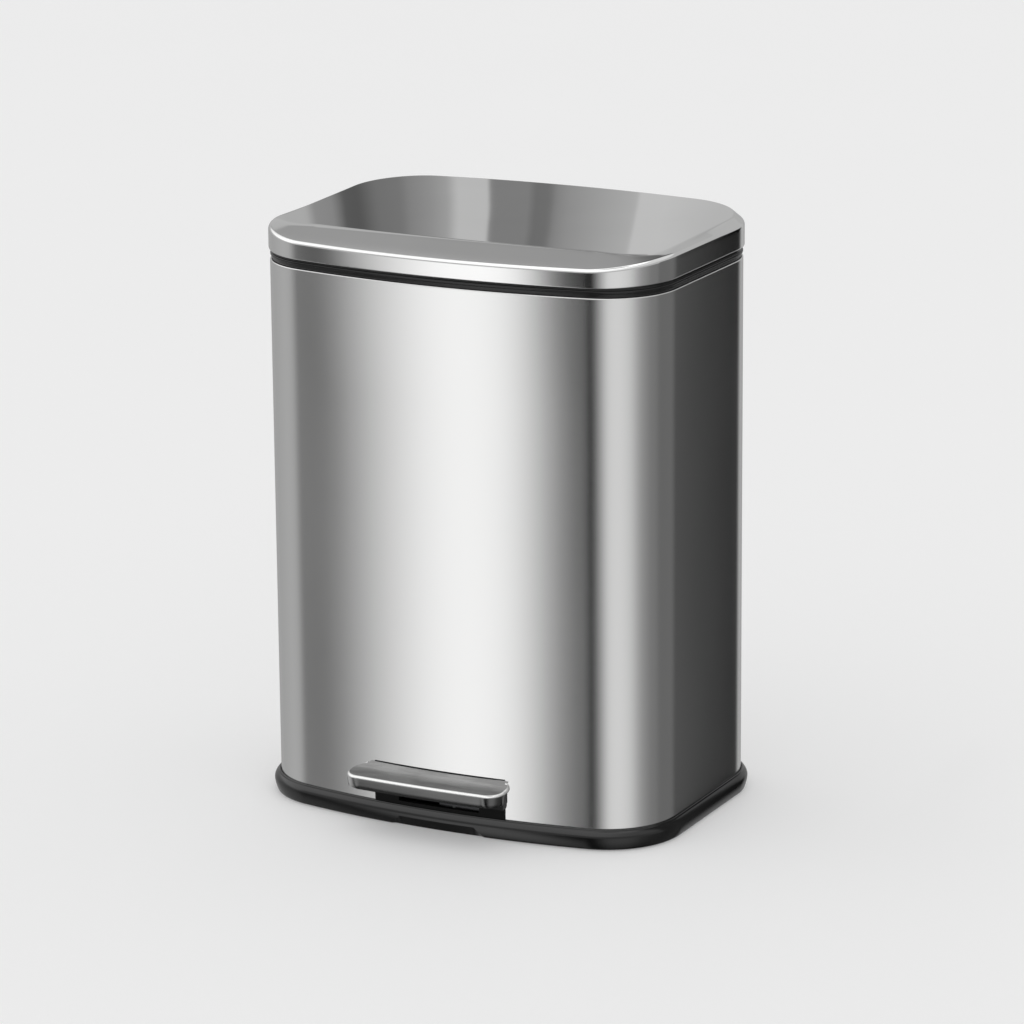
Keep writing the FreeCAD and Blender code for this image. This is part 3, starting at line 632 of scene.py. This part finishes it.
def pedal_sheet(shop):
    """A top with painted shade that darkens it towards its front, rubbed patches, a skirt in a darker tone as
    painted shade, and painted highlights on the rolled edges.

    The parts are told apart by which way the surface faces. The left corner gets a painted highlight too.
    """
    scratches = shop.noise(shop.place((2, 80, 80)), 40.0, 4.0, 0.65)
    rubbed = shop.noise(shop.place((1, 4, 4)), 24.0, 3.0).step(0.35, 0.65)
    upward = shop.along("Z", shop.node("ShaderNodeTexCoord", output="Normal"))
    # Painted shade: the top's colour runs from a lit tone at the back to a shaded tone at its front edge.
    lit_tone = shop.mix(rubbed, (0.46, 0.46, 0.457, 1), (0.60, 0.60, 0.596, 1))
    shaded_tone = shop.mix(rubbed, (0.15, 0.15, 0.149, 1), (0.24, 0.24, 0.238, 1))
    top = shop.mix(shop.along("Y").step(-0.116, -0.135), lit_tone, shaded_tone)
    # Painted shade: the upright skirt gets a darker tone than the top of the same steel.
    skirt = shop.mix(scratches, (0.10, 0.10, 0.099, 1), (0.18, 0.18, 0.179, 1))
    # Painted highlight: a light tone laid on the rolled edges, picked out by which way they face.
    highlight_tone = shop.mix(scratches, (0.72, 0.72, 0.715, 1), (0.84, 0.84, 0.835, 1))
    not_top = 1 - upward.step(0.95, 0.995)
    edge = upward.step(0.10, 0.50) * not_top
    # Painted highlight: the skirt and fillet at the left corner take the light highlight tone.
    corner_highlight = shop.along("X").step(-0.055, -0.064) * not_top
    face = shop.mix(upward.step(0.6, 0.9), skirt, top)
    return {
        "Base Color": shop.mix(corner_highlight, shop.mix(edge, face, highlight_tone), highlight_tone),
        "Metallic": 1.0,
        "Roughness": scratches * 0.08 + rubbed * 0.06 + 0.16,
        "Normal": shop.bump(scratches, 0.00001, 0.4),
    }


# The pedal's finish holds painted shade on the top and skirt, and painted highlights on its edges.
pedal_steel = finish_called("pedal_steel", pedal_sheet)
tread = make_piece("pedal_tread", *press_pedal(), pedal_steel, "pedal", "pedal_steel", ["pedal_plate"])
tread.visible_glossy = False        # the shell behind it would mirror it as a grey band
sheet = tread.modifiers.new("sheet", "SOLIDIFY")
sheet.thickness = 1 * MM
sheet.offset = -1


# ------------------------------------------------------------------------- top rim
# A black plastic ring snapped inside the hem. Its bead fills the gap under the lid, its
# collar stiffens the mouth, and its shelf carries the bucket. The crank has a slot at the back.

CRANK_SLOT = (-7.5 * MM, 9 * MM)
CRANK_SLOT_Y = 124.2 * MM
SHELF_WIDENING = 17.7 * MM      # how much wider the shelf is at the back


def mould_rim():
    """Closed section up the band, round the bead, down the inner collar and round the shelf.

    In the crank's slot the rows behind the slot's front are pulled down on to the shelf.
    """
    points, normals = bin_outline()
    targets = [CRANK_SLOT[0] - 0.1 * MM, CRANK_SLOT[0], CRANK_SLOT[1], CRANK_SLOT[1] + 0.1 * MM]
    behind = np.flatnonzero(normals[:, 1] > 0.999)[3:-3]
    start, stop = (behind[np.argmin(np.abs(points[behind, 0] - targets[i]))] for i in (0, 3))
    points[start, 0], points[start - 1, 0] = targets[0], targets[1]
    points[stop + 1, 0], points[stop, 0] = targets[2], targets[3]
    section = np.array([
        (-2.3, 410.4), (-2.3, 442.75), (-1.7, 442.75), (-1.5, 443.0), (-1.5, 445.2),
        (-1.3, 445.6), (-0.75, 445.8), (-0.35, 446.1), (-0.2, 446.6), (-0.2, 447.4),
        (-0.35, 447.9), (-0.75, 448.2), (-1.3, 448.4), (-1.5, 448.8), (-1.5, 450.7),
        (-1.8, 451.0), (-2.7, 451.0), (-3.0, 450.7), (-3.0, 446.4), (-4.2, 445.2), (-4.3, 444.8),
        (-4.3, 418.4), (-4.7, 418.0), (-13.1, 418.0), (-13.5, 417.6), (-13.5, 415.4),
        (-13.1, 415.0), (-4.7, 415.0), (-4.3, 414.6), (-4.3, 410.4), (-3.9, 410.0), (-2.7, 410.0),
    ]) * MM
    outset = np.tile(section[:, :1], len(points))
    shelf = outset < -13 * MM
    outset -= shelf * np.where(normals[:, 1] > 0, normals[:, 1] ** 2, 0) * SHELF_WIDENING
    grid = carry(points, normals, outset, section[:, 1])
    x = points[:, 0]
    slotted = (normals[:, 1] > 0.999) & (x > CRANK_SLOT[0] - 0.05 * MM) & (x < CRANK_SLOT[1] + 0.05 * MM)
    cut = slotted[None] & (grid[..., 1] > CRANK_SLOT_Y)
    grid[..., 2] = np.where(cut, np.clip(grid[..., 2], 415 * MM, 418 * MM), grid[..., 2])
    grid[..., 1] = np.where(cut, CRANK_SLOT_Y, grid[..., 1])
    return grid, strips(*grid.shape[:2], loop=True)


satin_black = moulded("satin_black_plastic", 0.006, 0.24, 0.000004, 900.0, 0.01, 0.5)
make_piece("rim_trim", *mould_rim(), satin_black, "can", "rim_plastic", ["top_rim"])


# ------------------------------------------------------------------------- lid cover
# A pressed cap of polished steel. Its skirt turns in through a small fold, a bevel climbs
# to a raised top that is wide-shouldered at the front, and the top is slightly crowned.

lid_low, lid_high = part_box("lid_cover")
LID_OUT = 1.0 * MM
RAISED_Z = lid_low.z + 23.3 * MM
HINGE_NOTCH_HALF = 52 * MM
CROWN = 3.75                    # radius of the crown across the lid, in metres


def raised_top(x, y):
    """Height of the crowned top: a slope up to the hinge, less a parabola across it."""
    front, back = shell_low.y + 20 * MM, shell_high.y - 9 * MM
    back_z = lid_high.z - 0.1 * MM
    return RAISED_Z + (back_z - RAISED_Z) * (y - front) / (back - front) - x ** 2 / (2 * CROWN)


def soft_lower(a, b, reach):
    """The lower of two heights, rounded off where they come within `reach` of each other."""
    share = np.clip(0.5 + 0.5 * (b - a) / reach, 0, 1)
    return b * (1 - share) + a * share - reach * share * (1 - share)


def press_lid():
    """Rows from the skirt's edge, over the fold and up the bevel, then lines across the top.

    Sizes round the lid are blends of a side, a front and a back value by the squares of the
    normal's parts. The fold is an arc that ends at the slope that reaches the raised top.
    """
    points, normals = bin_outline()
    nx, ny = normals.T

    def round_lid(side, front, back):
        return (side * nx ** 2 + np.where(ny < 0, front, back) * ny ** 2) * MM

    shoulder = round_lid(8.0, 26.0, 9.0)
    softness = round_lid(0.5, 1.6, 0.8)
    fold_r = round_lid(4.5, 3.6, 5.5)
    fold_z = lid_low.z + round_lid(15.6, 10.0, 17.0)
    skirt_z = lid_low.z - round_lid(0.0, 1.4, 0.0)
    edge = points + normals * LID_OUT
    top_x, top_y = (edge - normals * shoulder[:, None]).T
    goal = raised_top(top_x, top_y)
    slope = np.full(len(points), math.radians(30))
    for _ in range(12):
        end_in = fold_r * (1 - np.sin(slope))
        end_z = fold_z + fold_r * np.cos(slope)
        slope = np.arctan2(goal - end_z, shoulder - end_in)

    skirt_rows, bevel_rows, deepest = 5, 60, 36 * MM
    skirt_in = np.array([0.6, 0.2, 0.0, 0.0, 0.0]) * MM
    share = np.array([0, 0.013, 0.05, 0.08, 1.0])[:, None]
    turn = np.linspace(0, 1, 15)[1:, None] * (math.pi / 2 - slope)
    depth = end_in + np.linspace(0, 1, bevel_rows + 1)[1:, None] * (deepest - end_in)
    bevel_z = end_z + (depth - end_in) * np.tan(slope)
    skirt_in = np.tile(skirt_in[:, None], len(points))
    inset = np.concatenate([skirt_in, fold_r * (1 - np.cos(turn)), depth])
    grid = carry(edge, normals, -inset, np.zeros_like(inset))
    level = raised_top(grid[-bevel_rows:, :, 0], grid[-bevel_rows:, :, 1])
    grid[:skirt_rows, :, 2] = skirt_z * (1 - share) + fold_z * share
    grid[skirt_rows:-bevel_rows, :, 2] = fold_z + fold_r * np.sin(turn)
    grid[-bevel_rows:, :, 2] = soft_lower(bevel_z, level, softness)

    across = fill_across(grid[-1])
    across[1:-1, 1:-1, 2] = raised_top(across[1:-1, 1:-1, 0], across[1:-1, 1:-1, 1])
    quads = strips(*grid.shape[:2])
    behind = (np.abs(points[:, 0]) < HINGE_NOTCH_HALF) & (ny > 0.99)
    notch = behind & np.roll(behind, -1)
    quads = quads[~((np.arange(len(quads)) < 3)[:, None] & notch[None])]
    return join((grid, quads), (across, strips(*across.shape[:2], ring=False)))


def polished_sheet(shop):
    """Nearly a mirror, with fine buffing lines and the slow ripple of drawn metal."""
    buffing = shop.noise(shop.place((1.2, 1.2, 90)), 60.0, 4.0, 0.65)
    ripple = shop.noise(shop.place((1, 0.5, 1)), 13.0, 1.0, 0.4)
    cloud = shop.noise(shop.place(), 14.0, 2.0)
    skirt = shop.along("Z").step(RAISED_Z - 4 * MM, RAISED_Z - 10 * MM)
    return {
        "Base Color": shop.mix(cloud, (0.80, 0.80, 0.795, 1), (0.87, 0.87, 0.865, 1)),
        "Metallic": 1.0,
        "Roughness": buffing * 0.008 + cloud * 0.006 + skirt * 0.15 + 0.012,
        "Normal": shop.bump(ripple, 0.00005, 1.0),
    }


lid_steel = finish_called("polished_steel", polished_sheet)
lid = make_piece("steel_lid", *press_lid(), lid_steel, "lid", "lid_steel", ["lid_cover"], 60)
wall = lid.modifiers.new("sheet", "SOLIDIFY")
wall.thickness = 0.7 * MM
wall.offset = -1


# ------------------------------------------------------------------------- plain parts
# The moulded trim and bucket, the zinc-plated mechanism, the screws and rivets, and the
# rubber pads keep their own shapes and only get their finishes.

def plated(name, tone, rough):
    """Zinc plate: a fine crystalline mottle under a thin clear film."""
    def surface(shop):
        spangle = shop.node("ShaderNodeTexVoronoi", {}, {"Vector": shop.place(), "Scale": 900.0}, "Distance")
        cloud = shop.noise(shop.place(), 60.0, 3.0)
        dark, light = (tuple(c * k for c in tone) + (1,) for k in (0.85, 1.1))
        return {
            "Base Color": shop.mix(spangle * 0.6 + cloud * 0.4, dark, light),
            "Metallic": 1.0,
            "Roughness": cloud * 0.10 + spangle * 0.05 + rough,
            "Normal": shop.bump(spangle, 0.00001, 0.3),
        }
    return finish_called(name, surface)


finishes = {
    "plain_steel": plated("zinc_plate", (0.62, 0.63, 0.65), 0.26),
    "fastener_steel": plated("screw_plate", (0.50, 0.50, 0.52), 0.30),
    "rim_plastic": satin_black,
    "frame_plastic": moulded("sparked_black_plastic", 0.003, 0.45, 0.00001, 1100.0, 0.006, 0.12),
    "pedal_plastic": moulded("pedal_black_plastic", 0.003, 0.34, 0.00001, 1000.0, 0.006, 0.2),
    "liner_plastic": moulded("liner_black_plastic", 0.030, 0.46, 0.00002, 1100.0, 0.008),
    "bucket_plastic": moulded("bucket_grey_plastic", 0.055, 0.48, 0.00003, 1000.0, 0.01),
    "rubber": moulded("rubber", 0.020, 0.70, 0.00004, 500.0, 0.02),
    "base_plastic": gloss_black,
    "shell_steel": satin_steel,
    "lid_steel": lid_steel,
    "pedal_steel": pedal_steel,
}
for part in frame["record"]["subparts"]:
    slots = frame["nodes"][part["node"]].data.materials
    slots.clear()
    slots.append(finishes[part["material_slot"]])
    if part["node"].startswith("pedal"):        # the shell would mirror these as a dark band
        frame["nodes"][part["node"]].visible_glossy = False
